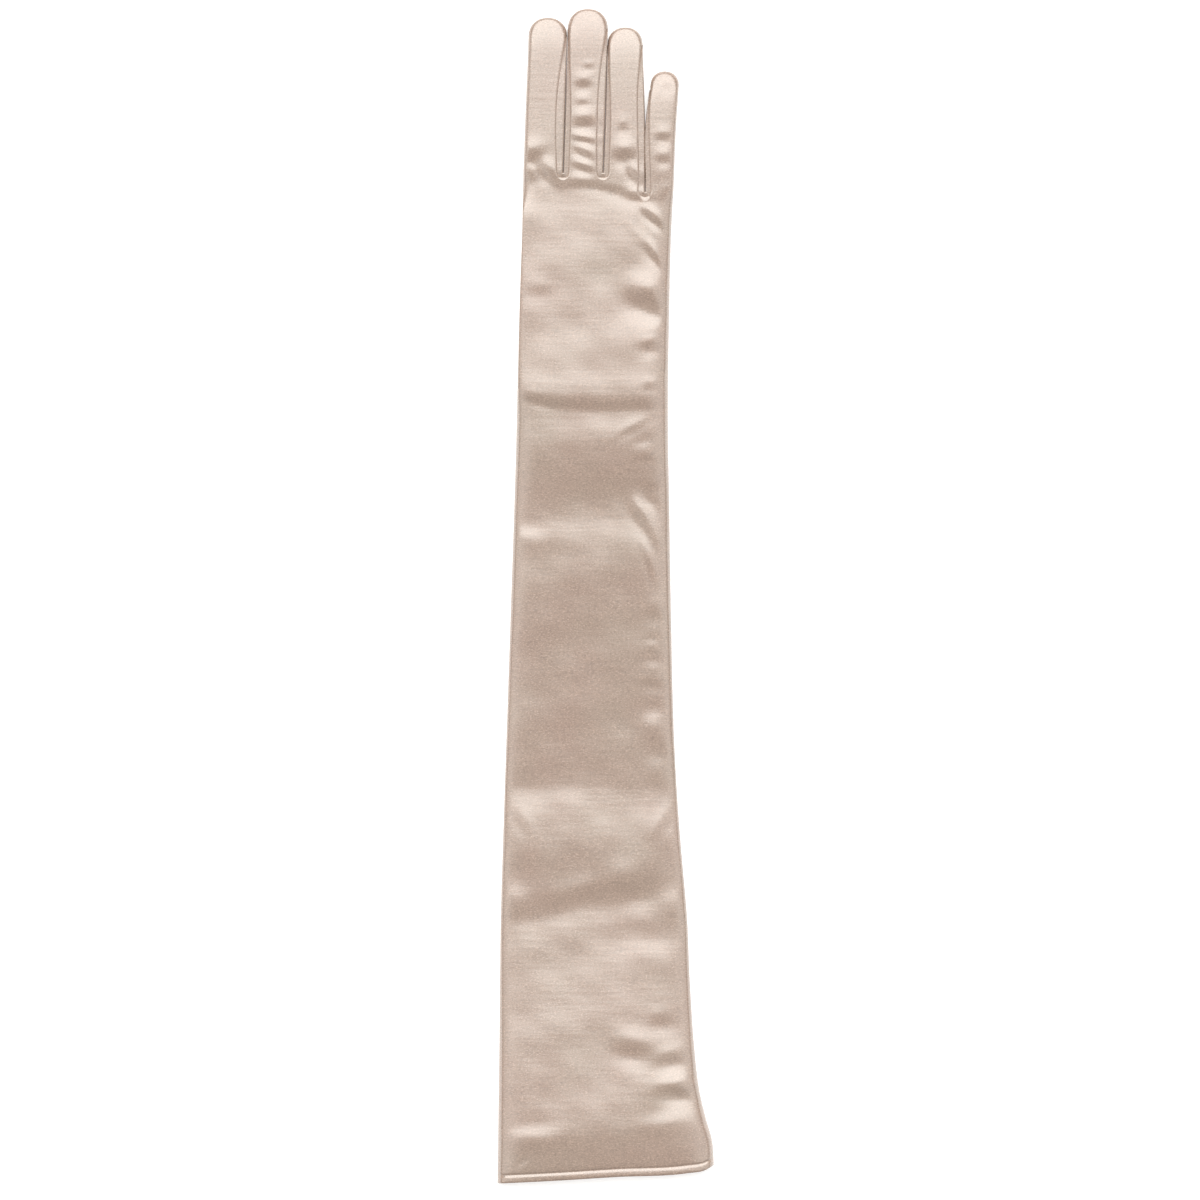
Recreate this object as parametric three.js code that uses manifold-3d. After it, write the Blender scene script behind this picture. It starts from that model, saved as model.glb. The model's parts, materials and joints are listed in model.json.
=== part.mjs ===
// One opera glove for the right hand, lying flat and empty, palm down.
// Millimetres. +X runs from the index side to the little-finger side, +Y towards the
// fingertips, +Z up. The origin is under the middle of the glove, on what it lies on.
//
// The glove is thin satin, so every piece is a sheet with a real thickness: back and palm
// panels joined along both sides, a strip (fork) down each inner side of the fingers, a
// thumb set into the palm, and a hem turned in at the mouth. The sleeve and the fingers
// are divided where a wearer's wrist, elbow and knuckles bend them.

import * as THREE from "three";
import { mergeVertices } from "three/addons/utils/BufferGeometryUtils.js";
import Module from "manifold-3d";

// ---------------------------------------------------------------- driving dimensions

const WALL = 0.6; // satin with its seam allowance
const GAP = 0.3; // between two sheets that touch
const SEAM_LEVEL = 0.3; // height of the side seams, as a share of the section's height
const FULLNESS = 0.8; // power of the rounded section: 1 is an ellipse, less is boxier
const FLAT_SHARE = 1.25; // how far the underside is flattened where it lies
const SEAM_ANGLE = 0.02; // half of the gap between two panels, in radians round the section
const FORK_ANGLE = 0.05; // the same on the fork's side, where the section turns sharply

// [y, left edge, right edge] of the hand and sleeve
const SIDES = [
  [-294, -54, 54],
  [-270, -53.8, 51],
  [-250, -53.4, 47.5],
  [-220, -53, 44],
  [-160, -52.2, 41],
  [-110, -50.7, 36.6],
  [-60, -49, 34.4],
  [30, -46, 32.2],
  [90, -44.2, 31.5],
  [140, -43.2, 32],
  [185, -41.6, 33.2],
  [212, -41, 34.6],
];

const SLEEVE_TOP = 10;
const HAND_TOP = 13; // the folded thumb lies under the palm
const KNUCKLE_TOP = 9.5;
const THUMB_ROOM = 6.3; // the palm is lifted this far by the thumb
const LIFT_STARTS = [101, 119]; // y
const LIFT_ENDS = [190, 209]; // y
const LIFT_FADES = [16, 31]; // x, towards the little-finger side

const HAND_END = 211; // y of the crotches
const PINKY_STEP = 9.5; // the little finger starts this much lower
const STEP_FROM = 16; // x where the step begins
const STEP_TO = 19.5;

const WRIST_Y = 96;
const WRIST_GAP = 8;
const ELBOW_Y = -145;
const ELBOW_GAP = 3;

const HEM_LEFT_Y = -293.75;
const HEM_LEFT_X = -54;
const HEM_WIDTH = 95; // up to the rounded corner
const HEM_RIGHT_RISE = 5; // the mouth is cut at a slant
const HEM_CORNER = [41, 13, 4.5]; // x where the right corner rounds off, its width, its rise
const HEM_DEPTH = 10; // fabric turned in at the mouth

const FINGER_TOP = 8.5;
const FINGER_HINGE_GAP = 4;
const KNUCKLE_GAP = 2;
const KNUCKLE_SHARE = 0.42; // middle knuckle, as a share of the finger's straight length
const FORK_ABOVE = THREE.MathUtils.degToRad(58); // how far the fork shows over the seam level
const FORK_BELOW = THREE.MathUtils.degToRad(50);
const FORK_TAPER = [0.62, 0.95]; // where the fork narrows, as shares of the straight length
const FORK_END = 0.86; // the fork stops just below the tip
const TIP_ROWS = [0.58, 0.72, FORK_END, 0.93, 0.975, 1]; // shares above the knuckle
const TIP_POWER = 10; // how late a closed tip comes down to its seam
const TIP_ROUND = 0.45; // how rounded it comes down: 1 is a straight slope

const BOTH_SIDES = ["pinky_side", "thumb_side"];

// base hinge y, tip y, middle of the finger at base and tip, half width at base and tip
const FINGERS = {
  index: { hinge: 213, tip: 289.5, middle: [-31.1, -29.6], half: [9.85, 9.5], forks: ["pinky_side"] },
  middle: { hinge: 213, tip: 293.75, middle: [-11, -9.2], half: [9.85, 9.6], forks: BOTH_SIDES },
  ring: { hinge: 213, tip: 284.8, middle: [9.5, 10.6], half: [10.2, 9], forks: BOTH_SIDES },
  pinky: { hinge: 203.5, tip: 262.8, middle: [27.4, 29.8], half: [7, 6.8], forks: ["thumb_side"] },
};

const THUMB_BASE = [-22, 130]; // centre of the thumb's opening in the palm
const THUMB_ANGLE = THREE.MathUtils.degToRad(15); // it points inwards, under the palm
const THUMB_LENGTH = 60; // from the opening's centre to the tip
const THUMB_HALF = [10.5, 9.5];
const THUMB_TOP = 6;
const THUMB_HEEL = 2; // straight part behind the opening's centre
const THUMB_JOINT = 0.56; // share of the length where the thumb bends
const THUMB_WINDOW = 6.5; // radius of the opening
const THUMB_END_POWER = 9; // how late the thumb's two round ends come down to their seam
const THUMB_ROWS = {
  lower: [0.003, 0.03, 0.09, 0.2, 0.32, 0.44], // shares from the heel, below the bend
  upper: [0.68, 0.8, 0.91, 0.97, 1],
};

const FORK_BASES = {
  index_middle: [-21.05, 210.6],
  middle_ring: [-1, 210.6],
  ring_pinky: [20, 201.1],
};
const FORK_BASE_WIDTH = 5;
const FORK_BASE_DEPTH = 4.5;
const FORK_BASE_CLEAR = 0.9; // below the back panel and above the palm panel

// ---------------------------------------------------------------- materials

const satin = new THREE.MeshStandardMaterial({ color: 0xcdb9a9, roughness: 0.42, metalness: 0 });
const forkSatin = new THREE.MeshStandardMaterial({ color: 0xc2ab9b, roughness: 0.42, metalness: 0 });
const liningSatin = new THREE.MeshStandardMaterial({ color: 0xb9a292, roughness: 0.6, metalness: 0 });

// ---------------------------------------------------------------- small helpers

const wasm = await Module();
wasm.setup();

const { lerp, smoothstep } = THREE.MathUtils;

function signedPower(value, power) {
  return Math.sign(value) * Math.abs(value) ** power;
}

function side(y, column) {
  const last = SIDES.length - 1;
  let i = 0;
  while (i < last - 1 && y > SIDES[i + 1][0]) i += 1;
  const at = (k) => SIDES[Math.min(last, Math.max(0, k))];
  const span = SIDES[i + 1][0] - SIDES[i][0];
  const t = THREE.MathUtils.clamp((y - SIDES[i][0]) / span, 0, 1);
  const slope = (k) => {
    const before = at(k - 1);
    const after = at(k + 1);
    return ((after[column] - before[column]) / (after[0] - before[0])) * span;
  };
  const a = SIDES[i][column];
  const b = SIDES[i + 1][column];
  const h = t * t * (3 - 2 * t);
  return a + (b - a) * h + (t - 2 * t * t + t ** 3) * slope(i) + (t ** 3 - t * t) * slope(i + 1);
}

function crown(y) {
  const hand = smoothstep(y, ...LIFT_STARTS);
  const knuckle = smoothstep(y, LIFT_ENDS[0], HAND_END);
  return SLEEVE_TOP + (HAND_TOP - SLEEVE_TOP) * hand + (KNUCKLE_TOP - HAND_TOP) * knuckle;
}

function underside(x, y) {
  const along = smoothstep(y, ...LIFT_STARTS) * (1 - smoothstep(y, ...LIFT_ENDS));
  return THUMB_ROOM * along * (1 - smoothstep(x, ...LIFT_FADES));
}

// Height of a rounded section at one angle: 0 and 180 degrees are the side seams.
function sectionHeight(angle, low, top, cap) {
  const seam = low + SEAM_LEVEL * (top - low);
  const rise = Math.abs(Math.sin(angle)) ** FULLNESS;
  if (angle >= 0) return seam + GAP / 2 + (top - seam - GAP / 2) * rise * cap;
  return seam - GAP / 2 - (seam - low - GAP / 2) * Math.min(1, FLAT_SHARE * rise) * cap;
}

// A closed sheet: the surface point(angle, along) at two depths below itself, with rims.
// edges(along) gives the two angles that the sheet runs between. A closed tip has its seam
// at one height, and the sheet stays on its own side of it.
function sheet(point, edges, across, along, depths, seam) {
  const step = 1e-3;
  const layers = [[], []];
  for (const v of along) {
    const [from, to] = edges(v);
    for (let i = 0; i <= across; i += 1) {
      const angle = lerp(from, to, i / across);
      const here = point(angle, v);
      const inner = Math.min(v, 1 - 2 * step); // the tip's last row has no row beyond it
      const du = point(angle + step, inner).sub(point(angle - step, inner));
      const dv = point(angle, inner + step).sub(point(angle, inner - step));
      const outward = dv.cross(du).normalize();
      depths.forEach((depth, k) => {
        const place = here.clone().addScaledVector(outward, -depth);
        if (seam && here.z > seam) place.z = Math.max(place.z, seam + GAP / 2);
        if (seam && here.z < seam) place.z = Math.min(place.z, seam - GAP / 2);
        layers[k].push(place);
      });
    }
  }
  const row = across + 1;
  const rows = along.length;
  const count = row * rows;
  const triangles = [];
  const quad = (a, b, c, d) => triangles.push(a, b, c, a, c, d);
  for (let j = 0; j < rows - 1; j += 1) {
    for (let i = 0; i < across; i += 1) {
      const a = j * row + i;
      quad(a, a + row, a + row + 1, a + 1);
      quad(count + a, count + a + 1, count + a + row + 1, count + a + row);
    }
    const left = j * row;
    const right = left + across;
    quad(left, left + count, left + row + count, left + row);
    quad(right, right + row, right + row + count, right + count);
  }
  for (let i = 0; i < across; i += 1) {
    const first = i;
    const last = (rows - 1) * row + i;
    quad(first, first + 1, first + 1 + count, first + count);
    quad(last, last + count, last + 1 + count, last + 1);
  }
  const geometry = new THREE.BufferGeometry();
  geometry.setFromPoints([...layers[0], ...layers[1]]);
  geometry.setIndex(triangles);
  return geometry;
}

function evenly(from, to, count) {
  return Array.from({ length: count + 1 }, (_, k) => lerp(from, to, k / count));
}

// Angles of a back or palm panel, with half of the seam's gap left at each edge.
function panelEdges(facing, fromAngle = 0, toAngle = Math.PI) {
  const edges = [fromAngle + SEAM_ANGLE, toAngle - SEAM_ANGLE];
  return facing === "back" ? edges : edges.map((angle) => -angle).reverse();
}

function toManifold(geometry) {
  const bare = geometry.clone();
  bare.deleteAttribute("normal");
  bare.deleteAttribute("uv");
  const merged = mergeVertices(bare);
  return new wasm.Manifold(
    new wasm.Mesh({
      numProp: 3,
      vertProperties: Float32Array.from(merged.attributes.position.array),
      triVerts: Uint32Array.from(merged.index.array),
    }),
  );
}

function fromManifold(solid) {
  const mesh = solid.getMesh();
  const geometry = new THREE.BufferGeometry();
  geometry.setAttribute("position", new THREE.BufferAttribute(mesh.vertProperties, 3));
  geometry.setIndex(new THREE.BufferAttribute(mesh.triVerts, 1));
  return geometry;
}

const glove = new THREE.Group();

function add(name, geometry, material) {
  geometry.computeVertexNormals();
  const mesh = new THREE.Mesh(geometry, material);
  mesh.name = name;
  glove.add(mesh);
  return mesh;
}

// ---------------------------------------------------------------- hand and sleeve

function sleevePoint(angle, y) {
  const left = side(y, 1);
  const right = side(y, 2);
  const x = (left + right) / 2 + ((right - left) / 2) * signedPower(Math.cos(angle), FULLNESS);
  return new THREE.Vector3(x, y, sectionHeight(angle, underside(x, y), crown(y), 1));
}

// Height of the back of the hand over one point.
function topAt(x, y) {
  const left = side(y, 1);
  const right = side(y, 2);
  const share = (x - (left + right) / 2) / ((right - left) / 2);
  const angle = Math.acos(signedPower(share, 1 / FULLNESS));
  return sectionHeight(angle, underside(x, y), crown(y), 1);
}

// The mouth is slanted, and its little-finger corner is rounded off.
function mouthY(x) {
  const [start, width, rise] = HEM_CORNER;
  const corner = Math.max(0, (x - start) / width);
  return HEM_LEFT_Y + (HEM_RIGHT_RISE * (x - HEM_LEFT_X)) / HEM_WIDTH + rise * corner * corner;
}

// A stretch of the sleeve between two heights, given as functions of x.
function sleeveStretch(yFrom, yTo) {
  return (angle, v) => {
    const x = sleevePoint(angle, lerp(yFrom(0), yTo(0), v)).x;
    return sleevePoint(angle, lerp(yFrom(x), yTo(x), v));
  };
}

function handEnd(x) {
  return HAND_END - PINKY_STEP * smoothstep(x, STEP_FROM, STEP_TO);
}

function thumbWindow() {
  const window = new THREE.CylinderGeometry(THUMB_WINDOW, THUMB_WINDOW, HAND_TOP, 24);
  window.rotateX(Math.PI / 2);
  window.translate(...THUMB_BASE, THUMB_ROOM - HAND_TOP / 2 + 3);
  return toManifold(window);
}

function handPanels() {
  const surface = sleeveStretch(() => WRIST_Y + WRIST_GAP / 2, handEnd);
  const rows = evenly(0, 1, 13);
  const back = sheet(surface, () => panelEdges("back"), 16, rows, [0, WALL]);
  const palm = sheet(surface, () => panelEdges("palm"), 16, rows, [0, WALL]);
  add("hand_back", back, satin);
  add("hand_palm", fromManifold(toManifold(palm).subtract(thumbWindow())), satin);
}

function sleevePanels() {
  const wristEnd = () => WRIST_Y - WRIST_GAP / 2;
  const elbowTop = () => ELBOW_Y + ELBOW_GAP / 2;
  const elbowLow = () => ELBOW_Y - ELBOW_GAP / 2;
  const forearm = sleeveStretch(elbowTop, wristEnd);
  const upperArm = sleeveStretch(mouthY, elbowLow);
  for (const facing of ["back", "palm"]) {
    const edges = () => panelEdges(facing);
    add(`forearm_${facing}`, sheet(forearm, edges, 14, evenly(0, 1, 9), [0, WALL]), satin);
    add(`upper_arm_${facing}`, sheet(upperArm, edges, 14, evenly(0, 1, 9), [0, WALL]), satin);
  }
}

function hemFacings() {
  const surface = sleeveStretch(mouthY, (x) => mouthY(x) + HEM_DEPTH);
  const depths = [WALL + GAP, 2 * WALL + GAP];
  for (const facing of ["back", "palm"]) {
    add(`hem_${facing}`, sheet(surface, () => panelEdges(facing), 14, [0, 0.5, 1], depths), liningSatin);
  }
}

// ---------------------------------------------------------------- fingers

function fingerPoint(finger) {
  const tipRadius = finger.half[1];
  const straight = finger.tip - tipRadius - finger.hinge;
  return (angle, v) => {
    const half = lerp(...finger.half, v);
    const x = lerp(...finger.middle, v) + half * signedPower(Math.cos(angle), FULLNESS);
    const y = finger.hinge + straight * v + tipRadius * Math.abs(Math.sin(angle)) * v ** 4;
    const cap = (1 - Math.min(1, v) ** TIP_POWER) ** TIP_ROUND;
    return new THREE.Vector3(x, y, sectionHeight(angle, 0, FINGER_TOP, cap));
  };
}

// The fork keeps its width for most of the finger, then tapers to a point.
function forkShare(v) {
  return 1 - smoothstep(v, ...FORK_TAPER);
}

// A point of the fork, by its angle from the middle of its side of the finger.
function forkPoint(surface, place) {
  const middle = place === "pinky_side" ? 0 : Math.PI;
  return (offset, v) => {
    const angle = middle + offset;
    return surface(angle > Math.PI ? angle - 2 * Math.PI : angle, v);
  };
}

function forkEdges(place) {
  return (v) => {
    const above = FORK_ABOVE * forkShare(v) - FORK_ANGLE;
    const below = FORK_BELOW * forkShare(v) - FORK_ANGLE;
    return place === "pinky_side" ? [-below, above] : [-above, below];
  };
}

function fingerSegments(name, finger) {
  const surface = fingerPoint(finger);
  const seam = SEAM_LEVEL * FINGER_TOP;
  const straight = finger.tip - finger.half[1] - finger.hinge;
  const start = FINGER_HINGE_GAP / 2 / straight;
  const gap = KNUCKLE_GAP / 2 / straight;
  const segments = {
    lower: evenly(start, KNUCKLE_SHARE - gap, 4),
    upper: [KNUCKLE_SHARE + gap, ...TIP_ROWS],
  };
  for (const [segment, rows] of Object.entries(segments)) {
    for (const facing of ["back", "palm"]) {
      const reach = facing === "back" ? FORK_ABOVE : FORK_BELOW;
      const edges = (v) => {
        const right = finger.forks.includes("pinky_side") ? reach * forkShare(v) : 0;
        const left = finger.forks.includes("thumb_side") ? reach * forkShare(v) : 0;
        return panelEdges(facing, right, Math.PI - left);
      };
      add(`${name}_${segment}_${facing}`, sheet(surface, edges, 7, rows, [0, WALL], seam), satin);
    }
    for (const place of finger.forks) {
      const forkRows = rows.filter((v) => v <= FORK_END);
      const strip = sheet(forkPoint(surface, place), forkEdges(place), 4, forkRows, [0, WALL]);
      add(`${name}_${segment}_fork_${place}`, strip, forkSatin);
    }
  }
}

// The fork's middle, a U round the crotch between two fingers.
function forkBase(name, [x, y]) {
  const outer = FORK_BASE_WIDTH / 2;
  const inner = outer - WALL;
  const shape = new THREE.Shape();
  const bottom = y - FORK_BASE_DEPTH + outer;
  shape.moveTo(x - outer, y);
  shape.lineTo(x - outer, bottom);
  shape.absarc(x, bottom, outer, Math.PI, 2 * Math.PI, false);
  shape.lineTo(x + outer, y);
  shape.lineTo(x + inner, y);
  shape.lineTo(x + inner, bottom);
  shape.absarc(x, bottom, inner, 2 * Math.PI, Math.PI, true);
  shape.lineTo(x - inner, y);
  const clear = WALL + FORK_BASE_CLEAR;
  const low = underside(x - outer, y - FORK_BASE_DEPTH) + clear;
  const high = topAt(x + outer, y) - clear;
  const options = { depth: high - low, bevelEnabled: false, curveSegments: 5 };
  const geometry = new THREE.ExtrudeGeometry(shape, options);
  geometry.translate(0, 0, low);
  add(`${name}_fork_base`, geometry, forkSatin);
}

// ---------------------------------------------------------------- thumb

function thumbPoint(angle, v) {
  const half = lerp(...THUMB_HALF, v);
  const straight = THUMB_LENGTH - THUMB_HALF[1] + THUMB_HEEL;
  const round = THUMB_HALF[1] * Math.abs(Math.sin(angle));
  const along = -THUMB_HEEL + straight * v + round * (v ** 4 - (1 - v) ** 4);
  const across = half * signedPower(Math.cos(angle), FULLNESS);
  const cap = Math.max(0, 1 - Math.abs(2 * v - 1) ** THUMB_END_POWER) ** TIP_ROUND;
  const height = sectionHeight(angle, 0, THUMB_TOP, cap);
  const point = new THREE.Vector3(across, along, height);
  point.applyAxisAngle(new THREE.Vector3(0, 0, 1), -THUMB_ANGLE);
  return point.add(new THREE.Vector3(...THUMB_BASE, 0));
}

function thumb() {
  const gap = KNUCKLE_GAP / 2 / (THUMB_LENGTH - THUMB_HALF[1] + THUMB_HEEL);
  const segments = {
    lower: [...THUMB_ROWS.lower, THUMB_JOINT - gap],
    upper: [THUMB_JOINT + gap, ...THUMB_ROWS.upper],
  };
  for (const [segment, rows] of Object.entries(segments)) {
    for (const facing of ["back", "palm"]) {
      const seam = SEAM_LEVEL * THUMB_TOP;
      let geometry = sheet(thumbPoint, () => panelEdges(facing), 8, rows, [0, WALL], seam);
      if (segment === "lower" && facing === "back") {
        geometry = fromManifold(toManifold(geometry).subtract(thumbWindow()));
      }
      add(`thumb_${segment}_${facing}`, geometry, satin);
    }
  }
}

// ---------------------------------------------------------------- the whole glove

handPanels();
sleevePanels();
hemFacings();
Object.entries(FORK_BASES).forEach(([name, place]) => forkBase(name, place));
Object.entries(FINGERS).forEach(([name, finger]) => fingerSegments(name, finger));
thumb();

export default glove;
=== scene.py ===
import json
import math

import bpy
import numpy as np
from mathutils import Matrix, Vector
from mathutils.kdtree import KDTree


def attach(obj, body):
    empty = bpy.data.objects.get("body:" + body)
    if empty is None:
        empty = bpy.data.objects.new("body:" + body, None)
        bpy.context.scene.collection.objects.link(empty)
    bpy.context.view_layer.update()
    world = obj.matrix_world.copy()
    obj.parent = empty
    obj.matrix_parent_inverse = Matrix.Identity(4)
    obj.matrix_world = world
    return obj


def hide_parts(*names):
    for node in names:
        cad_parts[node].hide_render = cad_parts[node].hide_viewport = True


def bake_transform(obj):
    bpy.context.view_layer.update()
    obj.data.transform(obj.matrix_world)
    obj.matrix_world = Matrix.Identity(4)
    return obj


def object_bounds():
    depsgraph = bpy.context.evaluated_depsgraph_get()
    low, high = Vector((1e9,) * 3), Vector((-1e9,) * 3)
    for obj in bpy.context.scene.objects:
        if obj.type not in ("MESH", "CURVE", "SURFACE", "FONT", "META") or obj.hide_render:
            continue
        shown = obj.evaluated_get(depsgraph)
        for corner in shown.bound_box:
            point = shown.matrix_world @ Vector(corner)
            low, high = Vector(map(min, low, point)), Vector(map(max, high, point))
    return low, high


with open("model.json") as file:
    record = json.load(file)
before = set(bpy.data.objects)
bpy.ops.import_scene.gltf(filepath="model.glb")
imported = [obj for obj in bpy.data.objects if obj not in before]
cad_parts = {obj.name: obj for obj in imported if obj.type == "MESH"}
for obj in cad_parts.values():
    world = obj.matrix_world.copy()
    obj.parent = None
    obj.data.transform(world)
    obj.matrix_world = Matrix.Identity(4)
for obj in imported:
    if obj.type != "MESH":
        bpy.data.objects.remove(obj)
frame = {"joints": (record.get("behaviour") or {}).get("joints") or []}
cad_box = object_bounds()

# ---------------------------------------------------------------------------
# Table, camera and light. The glove lies on a plain white table and is looked at from
# straight above. A very broad soft light beyond the fingertips brings out the satin's
# sheen wherever the cloth slopes that way, and two fainter ones light its side edges.

MM = 0.001
TABLE_DROP = 0.25 * MM  # the cloth rests on the table without touching its surface
VIEW_WIDTH = 0.6
LENS = 300
VIEW_OFFSET = (-2.0 * MM, -1.7 * MM)
SENSOR_WIDTH = 36
LIGHT_COLOUR = (1.0, 0.985, 0.945)
ROOM_LIGHT = 0.36


def place_camera():
    data = bpy.data.cameras.new("camera")
    data.lens = LENS
    data.sensor_width = SENSOR_WIDTH
    camera = bpy.data.objects.new("camera", data)
    bpy.context.collection.objects.link(camera)
    middle = (Vector(cad_box[0]) + Vector(cad_box[1])) / 2
    away = VIEW_WIDTH * LENS / SENSOR_WIDTH
    camera.location = (middle.x + VIEW_OFFSET[0], middle.y + VIEW_OFFSET[1], middle.z + away)
    bpy.context.scene.camera = camera


def add_light(name, lean, turn, spread_angle, strength):
    """A soft light from far off: lean in degrees from overhead, towards the turn from +X."""
    data = bpy.data.lights.new(name, "SUN")
    data.angle = math.radians(spread_angle)
    data.energy = strength
    data.color = LIGHT_COLOUR
    light = bpy.data.objects.new(name, data)
    bpy.context.collection.objects.link(light)
    lean, turn = math.radians(lean), math.radians(turn)
    toward = Vector((math.sin(lean) * math.cos(turn), math.sin(lean) * math.sin(turn), math.cos(lean)))
    light.rotation_euler = toward.to_track_quat("Z", "Y").to_euler()


place_camera()
add_light("fingertip_light", lean=39, turn=93, spread_angle=68, strength=3.1)
add_light("thumb_side_light", lean=42, turn=184, spread_angle=56, strength=0.6)
add_light("pinky_side_light", lean=42, turn=-8, spread_angle=56, strength=0.6)

world = bpy.data.worlds.new("white_room")
bpy.context.scene.world = world
world.use_nodes = True
world.node_tree.nodes["Background"].inputs["Color"].default_value = (1.0, 1.0, 1.0, 1)
world.node_tree.nodes["Background"].inputs["Strength"].default_value = ROOM_LIGHT
bpy.context.scene.view_settings.view_transform = "Standard"


class Wire:
    """A socket in a material that adds, subtracts and multiplies like a number."""

    def __init__(self, tree, socket=None):
        self.tree = tree
        self.socket = socket

    def node(self, kind, settings=None, output=0, **sockets):
        """Adds a node. Its sockets are given by name, or by number as _0, _1 and so on."""
        made = self.tree.nodes.new(kind)
        for setting, value in (settings or {}).items():
            setattr(made, setting, value)
        for label, value in sockets.items():
            key = int(label[1:]) if label[0] == "_" else label.replace("_", " ")
            if isinstance(value, Wire):
                self.tree.links.new(value.socket, made.inputs[key])
            else:
                made.inputs[key].default_value = value
        return Wire(self.tree, made.outputs[output] if len(made.outputs) else None)

    def maths(self, operation, *values):
        sockets = {f"_{i}": value for i, value in enumerate(values)}
        return self.node("ShaderNodeMath", {"operation": operation}, **sockets)

    def __add__(self, other):
        return self.maths("ADD", self, other)

    def __sub__(self, other):
        return self.maths("SUBTRACT", self, other)

    def __rsub__(self, other):
        return self.maths("SUBTRACT", other, self)

    def __mul__(self, other):
        return self.maths("MULTIPLY", self, other)

    __radd__ = __add__
    __rmul__ = __mul__


def new_material(name):
    material = bpy.data.materials.new(name)
    material.use_nodes = True
    material.node_tree.nodes.clear()
    return material, Wire(material.node_tree)


def table_paint():
    material, wire = new_material("table_paint")
    place = wire.node("ShaderNodeTexCoord", output="Object")
    cloud = wire.node("ShaderNodeTexNoise", Vector=place, Scale=3.0, Detail=3.0)
    shader = wire.node("ShaderNodeBsdfPrincipled", Roughness=cloud * 0.1 + 0.7,
                       Base_Color=(0.85, 0.85, 0.85, 1), Emission_Color=(1.0, 1.0, 1.0, 1),
                       Emission_Strength=0.5)
    wire.node("ShaderNodeOutputMaterial", Surface=shader)
    return material


def lay_table():
    bpy.ops.mesh.primitive_plane_add(size=8, location=(0, 0, -TABLE_DROP))
    table = bpy.context.object
    table.name = "table"
    table.data.materials.append(table_paint())


lay_table()

# ---------------------------------------------------------------------------
# Pattern of the glove. The back and the palm are cut to the same outline: a long sleeve
# that widens to a slanted mouth, a hand, and four fingers. Between two fingers both
# panels have a narrow U-shaped notch, which the fork fills. All lengths in millimetres.

LEFT_EDGE = [(-294, -54), (-270, -53.7), (-250, -53.4), (-220, -53), (-160, -52.3), (-110, -50.8),
             (-60, -49.1), (0, -47.1), (60, -45.1), (100, -44), (150, -42.7), (185, -41.5), (215, -41)]
RIGHT_EDGE = [(-294, 54.4), (-281.5, 53.6), (-266.5, 50.5), (-251, 47.5), (-221, 44.2), (-191, 42.3),
              (-161, 41), (-131, 38.4), (-101, 36.1), (-71, 34.5), (-11, 33), (50, 32), (78, 31.5),
              (108, 31.5), (140, 32), (184, 33.1), (215, 34.8)]
MOUTH_Y = -293.6  # the mouth's lowest point, on the index side
MOUTH = [(-54, -293.6), (-17, -291.6), (5, -290.2), (41, -288.3), (50, -286.8), (55, -284)]
CROTCH_Y = 212.0
PINKY_CROTCH_Y = 202.4


def curve(stations):
    """A smooth line through a few stations."""
    at, value = np.array(stations, float).T
    slope = np.gradient(value, at)

    def read(place):
        place = np.asarray(place, float)
        i = np.clip(np.searchsorted(at, place) - 1, 0, len(at) - 2)
        span = at[i + 1] - at[i]
        t = np.clip((place - at[i]) / span, 0, 1)
        rise = value[i] + (value[i + 1] - value[i]) * t * t * (3 - 2 * t)
        return rise + span * (slope[i] * (t - 2 * t**2 + t**3) + slope[i + 1] * (t**3 - t**2))

    return read


def fade(value, start, end):
    t = np.clip((np.asarray(value, float) - start) / (end - start), 0, 1)
    return t * t * (3 - 2 * t)


def bell(distance, width):
    return np.exp(-((distance / width) ** 2))


def spread(count, first=1.0, last=1.0, growth=0.25):
    """count + 1 numbers from 0 to 1, closer together towards an end that is under 1."""
    k = np.arange(count)
    steps = np.minimum(1, np.minimum(first + growth * k, last + growth * k[::-1]))
    return np.concatenate([[0], np.cumsum(steps) / steps.sum()])


left_edge, right_edge, mouth_edge = curve(LEFT_EDGE), curve(RIGHT_EDGE), curve(MOUTH)

# Each finger: its outline's left and right edges, its tip, and how wide the fork beside
# it shows on the left and on the right, along the finger from 0 at its crotch to 1.
FINGERS = {
    "index": dict(left=[(212, -41), (245, -39.8), (274, -38.6), (281, -38.4)],
                  right=[(212, -21.05), (245, -19.95), (281, -19.05)], tip=289.6,
                  fork_left=None, fork_right=[(0, 2.9), (0.2, 3.9), (0.55, 4.1), (0.97, 0.3)]),
    "middle": dict(left=[(212, -20.95), (245, -19.85), (285, -18.65)],
                   right=[(212, -1.05), (245, 0.2), (285, 1.35)], tip=294.0,
                   fork_left=[(0, 2.5), (0.4, 2.4), (0.97, 0.3)],
                   fork_right=[(0, 2.9), (0.3, 3.7), (0.6, 3.5), (0.97, 0.3)]),
    "ring": dict(left=[(212, -0.95), (245, 0.3), (264, 0.85), (276, 1.25)],
                 right=[(202, 19.9), (237, 19.9), (276, 18.7)], tip=284.8,
                 fork_left=[(0, 2.5), (0.4, 2.3), (0.97, 0.3)],
                 fork_right=[(0, 2.9), (0.3, 3.4), (0.6, 3.2), (0.97, 0.3)]),
    "pinky": dict(left=[(202, 20.05), (236, 20.05), (245, 21.0), (256, 22.7)],
                  right=[(202, 34.15), (237, 35.6), (256, 36.9)], tip=262.8,
                  fork_left=[(0, 2.6), (0.4, 2.3), (0.97, 0.3)], fork_right=None),
}
TIP_ROUNDING = 0.93  # of half the finger's width
LEAST_FORK = 0.3
FORK_STOP = 0.965  # share of a finger's length where its forks have run out
FINGER_COLUMNS = {"index": 28, "middle": 26, "ring": 26, "pinky": 20}
NOTCH_COLUMNS = 10
FINGER_ROWS = 100
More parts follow.
